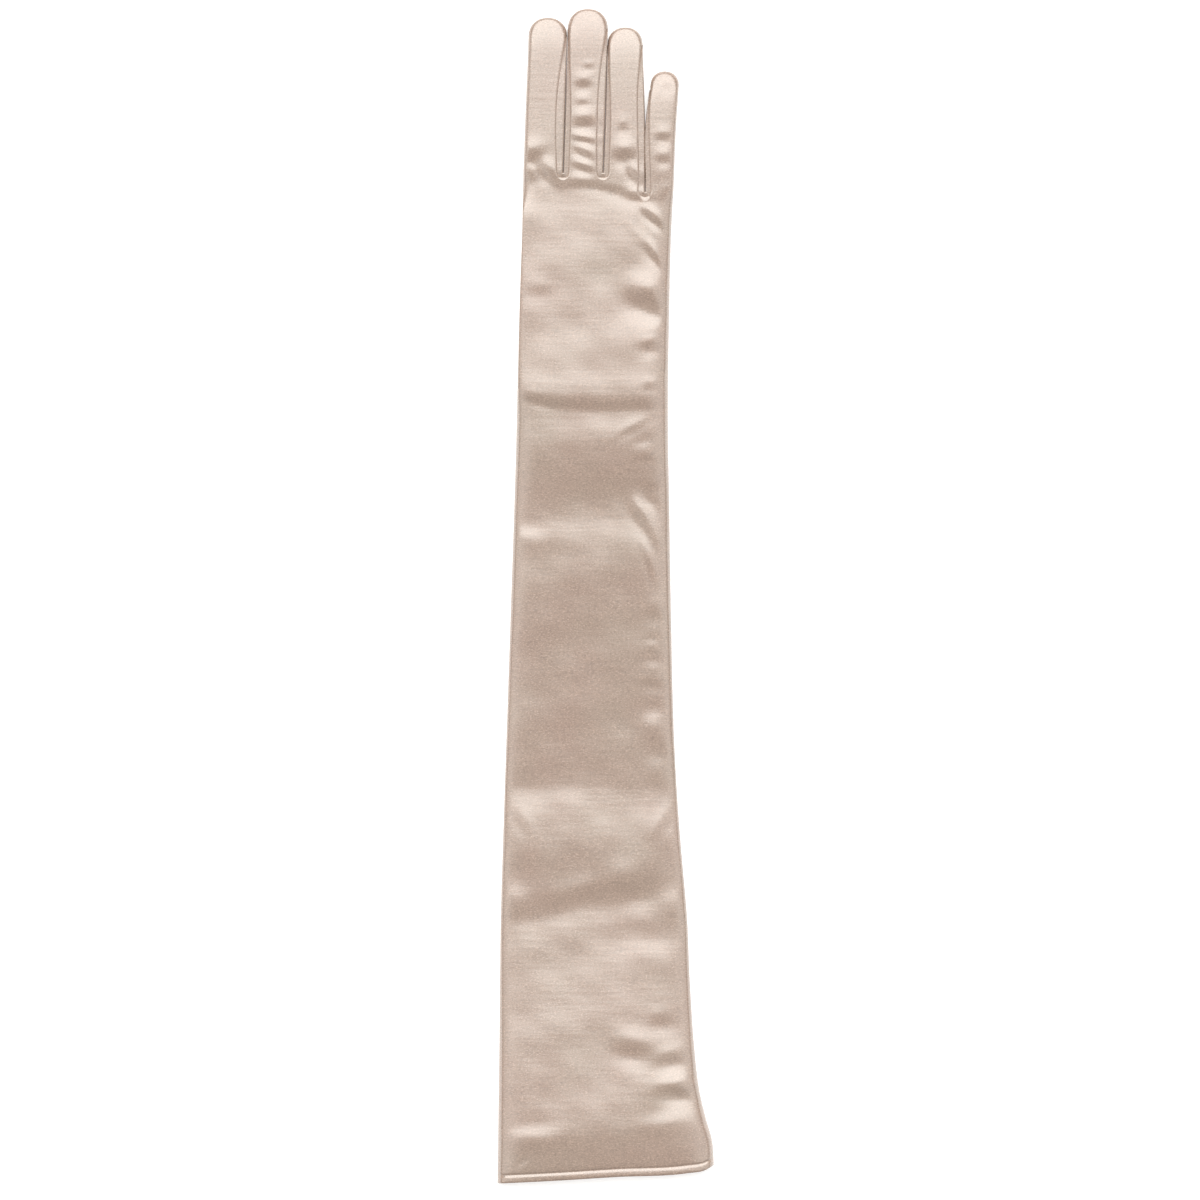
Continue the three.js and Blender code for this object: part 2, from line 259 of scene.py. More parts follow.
HEM_ROWS = [0, 0.35, 0.7, 1.1, 1.6, 2.1, 2.6, 3.1, 3.6, 4.1, 4.6, 5.1]  # from the mouth
SLEEVE_START, SLEEVE_END, SLEEVE_STEP = -288, 186, 1.5
SLANT_END = -230  # the rows are no longer slanted like the mouth from here
HAND_ROWS = 14  # from the end of the sleeve's even rows to the little finger's crotch
STEP_ROWS = 12  # from there to the other crotches
NOTCH_DIP = 11  # the rows below a notch bend round it over this length


def finger_side(name, which, y):
    return curve(FINGERS[name][which])(y)


def straight_end(name):
    """Where the finger's straight sides stop and its round tip begins."""
    tip = FINGERS[name]["tip"]
    half = (finger_side(name, "right", tip - 9) - finger_side(name, "left", tip - 9)) / 2
    return tip - TIP_ROUNDING * half, TIP_ROUNDING * half


def crotch_of(name):
    return PINKY_CROTCH_Y if name == "pinky" else CROTCH_Y


def fork_width(name, which, share):
    stations = FINGERS[name][which]
    if stations is None:
        return np.zeros_like(np.asarray(share, float))
    width = curve(stations)(share)
    return np.where(np.asarray(share) > FORK_STOP, 0.0, np.maximum(width, LEAST_FORK))


def lay_out_columns():
    """Columns across the hand, left to right: (finger or notch, share of its width)."""
    names = list(FINGERS)
    columns = []
    for k, name in enumerate(names):
        first = 0.05 if name == "index" else 0.3
        last = 0.05 if name == "pinky" else 0.3
        shares = spread(FINGER_COLUMNS[name], first, last)
        columns += [(name, share) for share in shares]
        if k < len(names) - 1:
            turn = np.linspace(math.pi, 2 * math.pi, NOTCH_COLUMNS + 1)[1:-1]
            columns += [((name, names[k + 1]), angle) for angle in turn]
    return columns


columns = lay_out_columns()
column_count = len(columns)


def notch_point(pair, angle):
    """A point on the U-shaped seam round the end of the gap between two fingers."""
    left, right = pair
    y = crotch_of(right)
    gap_left = float(finger_side(left, "right", y))
    gap_right = float(finger_side(right, "left", y))
    middle = (gap_left + gap_right) / 2
    start = middle - gap_left + float(fork_width(left, "fork_right", 0.0))
    end = gap_right - middle + float(fork_width(right, "fork_left", 0.0))
    turn = (angle - math.pi) / math.pi
    reach = start + (end - start) * turn
    return middle + reach * math.cos(angle), y + reach * math.sin(angle), middle, y


def across_width(x, left, right):
    """-1 at the left edge, 1 at the right."""
    return np.clip((2 * x - left - right) / (right - left), -1, 1)


def finger_plan(name, column_share, share):
    """Plan position on a finger's back or palm: across its width and along its length."""
    begin = crotch_of(name)
    end, radius = straight_end(name)
    y = begin + (end - begin) * share
    left = finger_side(name, "left", y)
    right = finger_side(name, "right", y)
    seam_left = left + fork_width(name, "fork_left", share)
    seam_right = right - fork_width(name, "fork_right", share)
    x = seam_left + (seam_right - seam_left) * column_share
    across = across_width(x, left, right)
    round_off = radius * np.sqrt(np.maximum(0, 1 - np.abs(across) ** 2.2)) * share**5
    return x, y + round_off


def finger_shares(count):
    """Rows along a finger as shares of its length, closer together towards its tip."""
    return spread(count, 1.0, 0.04, 0.08)[1:]


def ends_at_pinky(where):
    """Whether a column leaves the hand at the little finger's own, lower crotch."""
    return where in ("pinky", ("ring", "pinky"))


def lay_out_plan():
    """Plan positions of every row and column. Rows run from the mouth to the fingertips.

    The level of a point is its row's own place along the sleeve, before the row is slanted.
    """
    even = np.arange(SLEEVE_START + SLEEVE_STEP, SLEEVE_END, SLEEVE_STEP)
    nominal = np.concatenate([np.array(HEM_ROWS) + MOUTH_Y, even])
    to_pinky = np.linspace(even[-1], PINKY_CROTCH_Y, HAND_ROWS + 1)[1:]
    to_others = np.linspace(PINKY_CROTCH_Y, CROTCH_Y, STEP_ROWS + 1)[1:]
    below = np.concatenate([nominal, to_pinky, to_others])
    pinky_row = len(nominal) + HAND_ROWS - 1
    crotch_row = pinky_row + STEP_ROWS
    row_count = crotch_row + 1 + FINGER_ROWS
    x = np.zeros((row_count, column_count))
    y = np.zeros_like(x)
    level = np.zeros_like(x)
    used = np.ones_like(x, bool)
    for j, (where, amount) in enumerate(columns):
        notch = where not in FINGERS
        last = pinky_row if ends_at_pinky(where) else crotch_row
        if notch:
            end_x, end_y, _, flat_y = notch_point(where, amount)
        else:
            end_x = finger_plan(where, amount, 0.0)[0]
            end_y = flat_y = crotch_of(where)
        side_share = (end_x - left_edge(flat_y)) / (right_edge(flat_y) - left_edge(flat_y))
        side_share = np.clip(side_share, 0, 1)
        rows = slice(0, last + 1)
        here = below[rows]
        x[rows, j] = left_edge(here) + side_share * (right_edge(here) - left_edge(here))
        dip = (end_y - flat_y) * fade(here, flat_y - NOTCH_DIP, flat_y)
        rise = (mouth_edge(x[rows, j]) - MOUTH_Y) * (1 - fade(here, SLEEVE_START, SLANT_END))
        y[rows, j] = here + dip + rise
        level[rows, j] = here
        if notch:
            used[last + 1:, j] = False
            x[last + 1:, j] = end_x
            y[last + 1:, j] = end_y
        else:
            rest = finger_shares(row_count - 1 - last)
            x[last + 1:, j], y[last + 1:, j] = finger_plan(where, amount, rest)
        level[last + 1:, j] = y[last + 1:, j]
    return dict(x=x, y=y, level=level, used=used, pinky_row=pinky_row, crotch_row=crotch_row, rows=below)


plan = lay_out_plan()


def last_shared_row(where):
    return plan["pinky_row"] if ends_at_pinky(where) else plan["crotch_row"]


# ---------------------------------------------------------------------------
# How the empty glove lies. The cloth keeps a little air between back and palm, bends
# round its side edges, rises over the thumb folded under the palm, and sags into soft
# cross folds along the sleeve and small puckers on the fingers and down the pinky's side.

# Height of the back's middle line over the table, along the glove.
CROWN = [(-294, 10.2), (-288, 10.6), (-281, 11.05), (-274, 11.5), (-269, 11.65), (-265, 11.6),
         (-258, 11.3), (-240, 10.5), (-205, 8.8), (-180, 7.5), (-166, 6.8), (-157, 6.45), (-150, 6.6),
         (-140, 7.05), (-130, 7.3), (-121, 7.2), (-112, 6.85), (-104, 6.4), (-98, 6.07), (-95.5, 6.0),
         (-92, 6.05), (-84, 6.25), (-40, 7.2), (17, 8.7), (27, 8.75), (40, 8.3), (48, 8.4), (70, 9.9),
         (78, 10.15), (84, 10.1), (90, 9.95), (93.5, 9.97), (96.5, 10.45), (99, 10.65), (103, 10.6),
         (112, 10.2), (125, 9.8), (160, 8.8), (190, 8.0), (199, 7.65), (206, 7.6), (214, 7.7),
         (222, 7.6), (250, 6.95), (270, 6.45), (280, 6.3), (295, 6.2)]
SEAM_HEIGHT = 2.1  # of the side seams over what the glove lies on
PALM_HEIGHT = 0.3
THUMB_ROOM = 6.3  # the folded thumb lifts the palm this far
THUMB_SEAM_DROP = 1.0  # and the side seams this much less
THUMB_RISE, THUMB_FALL = (88, 108), (190, 209)  # where the lift begins and ends, along the glove
THUMB_LIFT_FADES = (16, 31)  # and across it, towards the little finger
LEAST_AIR = 0.5
WIDE_SAG, WIDE_EDGE = 0.3, 44  # how far the cloth sags to its side edges, how sharp they are
FINGER_SAG, FINGER_EDGE = 0.08, 22
NOTCH_SECTION = 0.96
ROOT_BELOW, ROOT_ABOVE = 7, 3  # the hand's section turns into the fingers' round the crotches
PINKY_SIDE = (17, 21)  # across the glove, where the little finger's lower crotch takes over
TIP_LATE, TIP_ROUND = 15, 0.45  # how late and how steeply a fingertip comes down to its seam
# The wrist crease hangs lower in the middle than at the edges.
CREASE_X, CREASE_Y, CREASE_HALF, CREASE_REACH, CREASE_SAG = 4, 96, 46, 14, 4.5
# The hollow at the elbow runs slantwise across the sleeve.
HOLLOW_X, HOLLOW_Y, HOLLOW_REACH, HOLLOW_SLANT = -6, -149, 15, 0.22
SEAM_DEPTH, SEAM_WIDTH = 0.42, 0.3  # of the grooves at the seams round the forks
SEAM_SWELL, SEAM_SWELL_AT, SEAM_SWELL_WIDTH = 0.1, 0.9, 0.4  # the cloth swells beside them
FORKS_FROM = 190  # no fork is nearer to the mouth than this
ROLL_INSET = 1.4  # the pinky's side seam is rolled this far to the front,
ROLL_FROM, ROLL_TO = (-104, -84), (104, 122)  # from above the elbow to the wrist
ROLL_DEPTH, ROLL_WIDTH = 0.4, 0.32
HEM_STITCH_AT, HEM_STITCH_DEPTH = 4.0, 0.55
# Folds of the back: x, y, direction in degrees from +X, half length, half width, and how
# steeply the cloth climbs across the fold towards the fingertips (it falls if negative).
FOLDS = [
    # across the finger roots
    (-36, 221, 20, 6, 5.0, 0.2),
    (-30, 213, -50, 8, 4.0, 0.24),
    (-12, 206.5, 0, 9, 3.4, 0.12),
    (4, 203.5, -12, 10, 3.4, 0.11),
    (16, 199.5, -5, 6, 3.2, 0.2),
    # on the fingers
    (-8.5, 265, 0, 2.4, 2.2, 0.1),
    (-11, 256.5, 0, 3.4, 3.8, 0.18),
    (-11.5, 247, 0, 3.2, 3.0, 0.11),
    (-10.5, 237.5, 0, 4.6, 4.6, 0.22),
    (-11, 228.5, -14, 4.8, 2.6, 0.28),
    (-11, 222, -38, 4.6, 3.0, 0.28),
    (-11, 214.5, -25, 4.6, 2.8, 0.27),
    (9, 235, 0, 2.6, 3.6, 0.08),
    (9.5, 221, -10, 4.4, 5.2, 0.26),
    (14, 211, -55, 5.4, 3.2, 0.26),
    (29, 230, 0, 3.4, 3.4, 0.15),
    (29, 219, 0, 3.4, 3.4, 0.15),
    (31, 256, 0, 3.0, 3.6, 0.12),
    # down the little-finger side of the hand
    (24, 189, -42, 7, 2.8, 0.42),
    (20, 180, -50, 10, 3.4, -0.1),
    (24.5, 170, -58, 6.5, 2.8, 0.36),
    (20, 149, -22, 9, 8.5, 0.25),
    (24, 137, 0, 5, 4.0, -0.1),
    (24, 125.5, 5, 6, 4.0, 0.2),
    (24, 105, 0, 5, 2.8, 0.14),
    (-33, 153, 0, 7, 4.5, 0.06),
    # wrist
    (-36, 99, -14, 9, 2.6, 0.14),
    (-20, 95.5, -6, 14, 2.4, 0.05),
    (14, 84, 28, 9, 2.6, 0.1),
    (20, 76, 15, 6, 3.6, -0.1),
    (22, 69, 0, 6, 3.0, 0.14),
    # down the little-finger side of the forearm
    (22, 56, 0, 6, 3.0, 0.12),
    (19.5, 46, -52, 7, 4.2, -0.2),
    (20, 35, -58, 12, 4.0, 0.2),
    (-38, 32, -6, 9, 5.0, -0.07),
    (21, 18, -72, 9, 2.6, 0.16),
    (25, -8, 0, 5, 5.0, 0.1),
    (24, -23, 0, 4, 3.0, -0.1),
    (24, -34, 0, 5, 3.0, -0.12),
    (24, -43, 0, 7, 4.0, 0.15),
    (24, -60, 0, 6, 7.0, -0.09),
    (26, -83, 0, 6, 7.0, -0.06),
    # elbow and upper arm
    (30, -113, 60, 8, 4.0, 0.1),
    (-42, -113, -60, 8, 4.0, 0.1),
    (-14, -150, 14, 13, 6.0, 0.1),
    (12, -145, 10, 13, 9.0, 0.1),
    (-45, -147, 0, 9, 13.0, -0.08),
    (34, -144, 0, 8, 13.0, -0.1),
    (18, -175, -5, 18, 8.0, -0.04),
    (28, -212, 0, 6, 5.0, 0.1),
    (14, -226, -8, 10, 7.0, 0.17),
    (33, -231, 12, 8, 4.6, 0.14),
    (36, -247, 3, 9, 5.5, 0.34),
    (34, -259, 8, 12, 4.0, -0.06),
    (30, -268, 4, 24, 6.0, 0.06),
    (-40, -268, 4, 20, 6.0, -0.12),
    (-41, -284, 35, 4, 1.8, -0.16),
]
# Long shallow waves of the slack cloth: wave length, turn in degrees, steepest slope.
WAVES = [(47, 30, 0.012), (31, -62, 0.012), (22, 12, 0.011), (17, 75, 0.009), (13.5, -35, 0.008)]


def thumb_room(x, y):
    """How far the folded thumb lifts what lies over it."""
    along = fade(y, *THUMB_RISE) * (1 - fade(y, *THUMB_FALL))
    return THUMB_ROOM * along * (1 - fade(x, *THUMB_LIFT_FADES))


def wide_section(x, y):
    """0 at the side edges of the hand or sleeve, 1 over most of its width."""
    across = across_width(x, left_edge(y), right_edge(y))
    return (1 - WIDE_SAG * across**6) * np.sqrt(1 - np.abs(across) ** WIDE_EDGE)


def finger_section():
    """The same across each finger, and over the notches between them."""
    section = np.full_like(plan["x"], NOTCH_SECTION)
    for j, (where, _) in enumerate(columns):
        if where in FINGERS:
            y = np.maximum(plan["y"][:, j], crotch_of(where))
            left, right = finger_side(where, "left", y), finger_side(where, "right", y)
            across = across_width(plan["x"][:, j], left, right)
            section[:, j] = (1 - FINGER_SAG * across**4) * np.sqrt(1 - np.abs(across) ** FINGER_EDGE)
    return section


def tip_cap():
    """1 along the glove, falling to 0 at each fingertip's seam."""
    cap = np.ones_like(plan["x"])
    for j, (where, _) in enumerate(columns):
        if where in FINGERS:
            first = last_shared_row(where) + 1
            cap[first:, j] = np.maximum(0, 1 - finger_shares(len(cap) - first) ** TIP_LATE) ** TIP_ROUND
    return cap


def fold_heights(x, y):
    height = np.zeros_like(x)
    for fold_x, fold_y, degrees, half_length, half_width, climb in FOLDS:
        turn = math.radians(degrees)
        along = (x - fold_x) * math.cos(turn) + (y - fold_y) * math.sin(turn)
        over = (y - fold_y) * math.cos(turn) - (x - fold_x) * math.sin(turn)
        height += climb * over * bell(over, half_width) * bell(along, half_length)
    return height


def wave_heights(x, y):
    height = np.zeros_like(x)
    for k, (length, degrees, slope) in enumerate(WAVES):
        turn = math.radians(degrees)
        over = y * math.cos(turn) - x * math.sin(turn)
        bend = math.sin(1.7 * k) * np.sin((x * math.cos(turn) + y * math.sin(turn)) / (1.3 * length) + k)
        height += slope * length / math.tau * np.sin(math.tau * over / length + bend + 2 * k)
    return height


def lay_surfaces():
    """Heights of the back and the palm over the table."""
    x, y = plan["x"], plan["y"]
    room = thumb_room(x, y)
    seam = room + SEAM_HEIGHT - THUMB_SEAM_DROP * room / THUMB_ROOM
    narrow = fade(y, CROTCH_Y - ROOT_BELOW, CROTCH_Y + ROOT_ABOVE)
    pinky_narrow = fade(y, PINKY_CROTCH_Y - ROOT_BELOW, PINKY_CROTCH_Y + ROOT_ABOVE)
    narrow = np.maximum(narrow, fade(x, *PINKY_SIDE) * pinky_narrow)
    section = wide_section(x, plan["level"]) * (1 - narrow) + finger_section() * narrow
    section[:, [0, -1]] = 0  # back and palm meet along the whole outline
    cap = tip_cap()
    shift = CREASE_SAG * ((x - CREASE_X) / CREASE_HALF) ** 2 * bell(y - CREASE_Y, CREASE_REACH)
    shift = shift + HOLLOW_SLANT * (x - HOLLOW_X) * bell(y - HOLLOW_Y, HOLLOW_REACH)
    crown = np.maximum(curve(CROWN)(y - shift), seam + LEAST_AIR)
    back = seam + (crown - seam) * section * cap
    palm = seam - (seam - room - PALM_HEIGHT) * np.minimum(1, 1.3 * section) * cap
    waves = wave_heights(x, y) * (1 - fade(y, CROTCH_Y - 12, CROTCH_Y))
    back = back + (fold_heights(x, y) + waves) * np.minimum(1, section * 1.2) * cap
    return back, palm


back_height, palm_height = lay_surfaces()


def edge_points():
    """The seams round the forks, as plan points, for the grooves beside them."""
    x, y = plan["x"], plan["y"]
    points = []
    for j, (where, amount) in enumerate(columns):
        if where not in FINGERS:
            last = last_shared_row(where)
            points.append((x[last, j], y[last, j]))
        elif amount in (0.0, 1.0):
            which = "fork_left" if amount == 0.0 else "fork_right"
            if FINGERS[where][which] is not None:
                low_crotch = where == "pinky" or (where == "ring" and amount == 1.0)
                start = plan["pinky_row" if low_crotch else "crotch_row"]
                points += list(zip(x[start:, j], y[start:, j]))
    return np.array(points)


def distance_to(points, x, y):
    """Distance in plan from the points, left large where there is no fork near."""
    tree = KDTree(len(points))
    for i, (a, b) in enumerate(points):
        tree.insert((a, b, 0), i)
    tree.balance()
    distance = np.full(x.shape, 99.0)
    for i, j in np.argwhere(y > FORKS_FROM):
        distance[i, j] = tree.find((x[i, j], y[i, j], 0))[2]
    return distance


seam_distance = distance_to(edge_points(), plan["x"], plan["y"])
swell = SEAM_SWELL * bell(seam_distance - SEAM_SWELL_AT, SEAM_SWELL_WIDTH)
groove = -SEAM_DEPTH * bell(seam_distance, SEAM_WIDTH) + swell
back_height = back_height + groove
palm_height = palm_height - groove * 0.6


def side_seam_groove(x, y):
    """The little-finger side seam, rolled a little to the front between wrist and elbow."""
    inset = ROLL_INSET * fade(y, *ROLL_FROM) * (1 - fade(y, *ROLL_TO))
    depth = ROLL_DEPTH * fade(inset, 0.2, 1.0)
    return -depth * bell(right_edge(y) - inset - x, ROLL_WIDTH)


def hem_roll(x, y):
    """The turned hem: a rounded rim with a stitched groove behind it."""
    inside = y - mouth_edge(x)
    rim = 0.2 * bell(inside - 1.0, 1.7) - 0.4 * bell(inside, 0.35)
    return rim - HEM_STITCH_DEPTH * bell(inside - HEM_STITCH_AT, 0.6)


back_height = back_height + side_seam_groove(plan["x"], plan["y"]) + hem_roll(plan["x"], plan["y"])

# ---------------------------------------------------------------------------
# Back and palm. Each side of the glove is one panel of stretch satin, cut here where the
# wearer bends it: upper arm, forearm, hand, and two pieces for each finger. The hand's
# pieces are attached to the hand's body; the other pieces only have their transforms baked.

CLOTH = 0.45
SATIN = (0.320, 0.226, 0.176)
SATIN_IOR = 2.35
ELBOW_CUT, WRIST_CUT = -120, 116
KNUCKLE_SHARE = 0.42  # of a finger's length, from its crotch
JOINT_REACH = 5  # a finger's and the thumb's two pieces are cut this far short of the bend
WRIST_REACH, ELBOW_REACH = 20 * MM, 22 * MM
LEAST_FLAT = 10.0  # lay_sheet takes no length as shorter than this


def crossed_diagonals(points, quads):
    """A vector square to each quad, twice as long as the quad's area."""
    a, b, c, d = (points.reshape(-1, 3)[quads[:, k]] for k in range(4))
    return np.cross(c - a, d - b)


def face_normals_to_points(points, quads):
    """Area-weighted normals of a quad grid, at its points."""
    face = crossed_diagonals(points, quads)
    normal = np.zeros((points.size // 3, 3))
    for k in range(4):
        np.add.at(normal, quads[:, k], face)
    return normal


def unit(vectors):
    return vectors / np.maximum(1e-12, np.linalg.norm(vectors, axis=-1, keepdims=True))


def grid_quads(rows, cols, used=None, flip=False):
    index = np.arange(rows * cols).reshape(rows, cols)
    quads = np.stack([index[:-1, :-1], index[:-1, 1:], index[1:, 1:], index[1:, :-1]], -1)
    if flip:
        quads = quads[..., ::-1]
    if used is None:
        return quads.reshape(-1, 4)
    keep = used[:-1, :-1] & used[:-1, 1:] & used[1:, 1:] & used[1:, :-1]
    return quads[keep]


def cloth_piece(name, points, normals, quads, material, thickness=CLOTH):
    """A closed sheet: outer face, inner face offset into the cloth, and its cut edges."""
    flat = points.reshape(-1, 3)
    kept = np.unique(quads)
    order = np.full(len(flat), -1)
    order[kept] = np.arange(len(kept))
    outer_quads = order[quads]
    outer = flat[kept] * MM
    inner = outer - unit(normals[kept]) * thickness * MM
    count = len(kept)
    edges = np.concatenate([outer_quads[:, [k, (k + 1) % 4]] for k in range(4)])
    forward = edges[:, 0] * count + edges[:, 1]
    backward = edges[:, 1] * count + edges[:, 0]
    rim = edges[~np.isin(forward, backward)]
    rim_quads = np.stack([rim[:, 1], rim[:, 0], rim[:, 0] + count, rim[:, 1] + count], -1)
    faces = np.concatenate([outer_quads, outer_quads[:, ::-1] + count, rim_quads])
    places = np.concatenate([outer, inner])
    mesh = bpy.data.meshes.new(name)
    mesh.from_pydata(places, [], faces)
    mesh.update()
    mesh.shade_smooth()
    point_normals = np.concatenate([unit(normals[kept]), -unit(normals[kept])])
    corners = point_normals[faces.reshape(-1)]
    start = (len(faces) - len(rim_quads)) * 4
    corners[start:] = np.repeat(unit(crossed_diagonals(places, rim_quads)), 4, axis=0)
    mesh.normals_split_custom_set(corners.tolist())
    mesh.materials.append(material)
    piece = bpy.data.objects.new(name, mesh)
    bpy.context.collection.objects.link(piece)
    return piece


def satin(name, tint=1.0, roughness=0.26):
    """Stretch satin: fine crosswise floats that glint one by one over a soft broad gloss."""
    material, wire = new_material(name)
    place = wire.node("ShaderNodeTexCoord", output="Object")
    floats = wire.node("ShaderNodeMapping", Vector=place, Scale=(900.0, 2200.0, 900.0))
    glint = wire.node("ShaderNodeTexNoise", Vector=floats, Scale=1.0, Detail=2.0, Roughness=0.5)
    grain = wire.node("ShaderNodeTexNoise", Vector=place, Scale=1300.0, Detail=2.0)
    combed = wire.node("ShaderNodeMapping", Vector=place, Scale=(45.0, 380.0, 45.0))
    streaks = wire.node("ShaderNodeTexNoise", Vector=combed, Scale=1.0, Detail=4.0, Roughness=0.65)
    cloud = wire.node("ShaderNodeTexNoise", Vector=place, Scale=30.0, Detail=3.0)
    tone = glint * 0.86 + grain * 0.86 + streaks * 0.14 + cloud * 0.14
    base = tuple(channel * tint for channel in SATIN) + (1,)
    warm = wire.node("ShaderNodeMix", {"data_type": "RGBA"}, output=2,
                     _0=cloud, _6=(1.06, 0.97, 0.96, 1), _7=(0.94, 1.03, 1.02, 1))
    grey = wire.node("ShaderNodeCombineColor", Red=tone, Green=tone, Blue=tone)
    toned = wire.node("ShaderNodeMix", {"data_type": "RGBA", "blend_type": "MULTIPLY"}, output=2,
                      _0=1.0, _6=base, _7=grey)
    colour = wire.node("ShaderNodeMix", {"data_type": "RGBA", "blend_type": "MULTIPLY"}, output=2,
                       _0=1.0, _6=toned, _7=warm)
    relief = glint * 0.06 + grain * 0.06 + streaks * 0.8
    bump = wire.node("ShaderNodeBump", Height=relief, Strength=0.18, Distance=0.0004)
    shader = wire.node("ShaderNodeBsdfPrincipled", Base_Color=colour, IOR=SATIN_IOR, Normal=bump,
                       Roughness=roughness - 0.05 + glint * 0.1)
    wire.node("ShaderNodeOutputMaterial", Surface=shader)
    return material


shell_satin = satin("shell_satin")


def with_height(height):
    return np.stack([plan["x"], plan["y"], height], -1)


back_points, palm_points = with_height(back_height), with_height(palm_height)
back_quads = grid_quads(*plan["x"].shape, plan["used"])
palm_quads = grid_quads(*plan["x"].shape, plan["used"], flip=True)
back_normals = face_normals_to_points(back_points, back_quads)
palm_normals = face_normals_to_points(palm_points, palm_quads)
for outline_column in (0, column_count - 1):  # the cloth turns smoothly round its side edges
    at = np.arange(plan["x"].shape[0]) * column_count + outline_column
    back_normals[at] += palm_normals[at]
    palm_normals[at] = back_normals[at]


def row_of(quads):
    return quads.min(axis=1) // column_count


def column_of(quads):
    return quads.min(axis=1) % column_count


def knuckle_row(name):
    begin, (end, _) = crotch_of(name), straight_end(name)
    cut = begin + (end - begin) * KNUCKLE_SHARE - JOINT_REACH
    return int(np.searchsorted(plan["y"][:, columns.index((name, 0.0))], cut))


def columns_of(name):
    return [k for k, (where, _) in enumerate(columns) if where == name]


def finger_mask(quads, name):
    inside = columns_of(name)
    column = column_of(quads)
    on_finger = (column >= inside[0]) & (column < inside[-1])
    return on_finger & (row_of(quads) >= last_shared_row(name))


def sleeve_cut(y):
    return int(np.searchsorted(plan["rows"], y))


def lay_sheet(points, quads, length):
    area = np.linalg.norm(crossed_diagonals(points, quads), axis=1).sum() / 2
    length = max(length, LEAST_FLAT)


def cut_pieces(side, points, normals, quads):
    """Cuts one side of the glove near its joints into pieces."""
    fingers = {name: finger_mask(quads, name) for name in FINGERS}
    rows = row_of(quads)
    sleeve_and_hand = ~np.any(list(fingers.values()), axis=0)
    elbow, wrist = sleeve_cut(ELBOW_CUT), sleeve_cut(WRIST_CUT)
    cuts = {
        f"upper_arm_{side}": sleeve_and_hand & (rows < elbow),
        f"forearm_{side}": sleeve_and_hand & (rows >= elbow) & (rows < wrist),
        f"hand_{side}": sleeve_and_hand & (rows >= wrist),
    }
    for name, mask in fingers.items():
        cuts[f"{name}_lower_{side}"] = mask & (rows < knuckle_row(name))
        cuts[f"{name}_upper_{side}"] = mask & (rows >= knuckle_row(name))
    made = {}
    for name, mask in cuts.items():
        own = quads[mask]
        made[name] = cloth_piece(f"satin_{name}", points, normals, own, shell_satin)
        lay_sheet(points, own, np.ptp(points.reshape(-1, 3)[own, 1]))
    return made


pieces = cut_pieces("back", back_points, back_normals, back_quads)
pieces.update(cut_pieces("palm", palm_points, palm_normals, palm_quads))

hinge_y = {joint["name"]: joint["pos_m"][1] for joint in frame["joints"]}


def follow(name, piece):
    """Attaches a panel of the hand to the hand's body; for any other panel only bakes its transform."""
    part = name.rsplit("_", 1)[0]
    if part == "hand":
        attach(piece, "hand")
        return
    if part == "forearm":
        bodies = ("forearm", "hand")
        from_y, to_y = hinge_y["wrist"] - WRIST_REACH, hinge_y["wrist"] + WRIST_REACH
    elif part == "upper_arm":
        bodies = ("forearm", "upper_arm")
        from_y, to_y = hinge_y["elbow"] + ELBOW_REACH, hinge_y["elbow"] - ELBOW_REACH
    else:
        finger, segment = part.split("_")
        if segment == "lower":
            bodies, from_y = ("hand", part), crotch_of(finger) * MM
        else:
            bodies, from_y = (f"{finger}_lower", part), hinge_y[f"{finger}_knuckle"] - JOINT_REACH * MM
        to_y = from_y + 2 * JOINT_REACH * MM
    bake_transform(piece)


for piece_name, piece in pieces.items():
    follow(piece_name, piece)
    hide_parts(piece_name)

# ---------------------------------------------------------------------------
# Forks. One narrow strip of the same satin fills the gap between each two fingers: it
# runs down the side of one finger, turns round the crotch in a small U, and runs up the
# side of the next. Its edges are sewn to the back and the palm with the seams inside.

FORK_STEPS = 22
FORK_BEND = 0.24  # 1 bends the strip in an ellipse, less keeps it flat up to the gap
FORK_SWELL = 0.08
LEAST_SHOWING = 0.2  # a fork ends where it is narrower than this


def fork_stations(left, right):
    """Panel edge vertices along the fork, with the plan point of the gap's wall beside each."""
    x, y = plan["x"], plan["y"]
    first = last_shared_row((left, right))
    stations = []

    def along(name, column, which, rows):
        for row in rows:
            wall_x = float(finger_side(name, which, min(y[row, column], straight_end(name)[0])))
            showing = wall_x - x[row, column] if which == "right" else x[row, column] - wall_x
            if showing > LEAST_SHOWING:
                stations.append((row, column, (wall_x, y[row, column]), name))

    rows = range(first, len(x) - 2)
    along(left, columns_of(left)[-1], "right", reversed(rows))
    for column in columns_of((left, right)):
        angle = columns[column][1]
        _, _, middle, flat_y = notch_point((left, right), angle)
        gap = middle - float(finger_side(left, "right", flat_y))
        wall = (middle + gap * math.cos(angle), flat_y + gap * math.sin(angle))
        stations.append((first, column, wall, "hand"))
    along(right, columns_of(right)[0], "left", rows)
    return stations


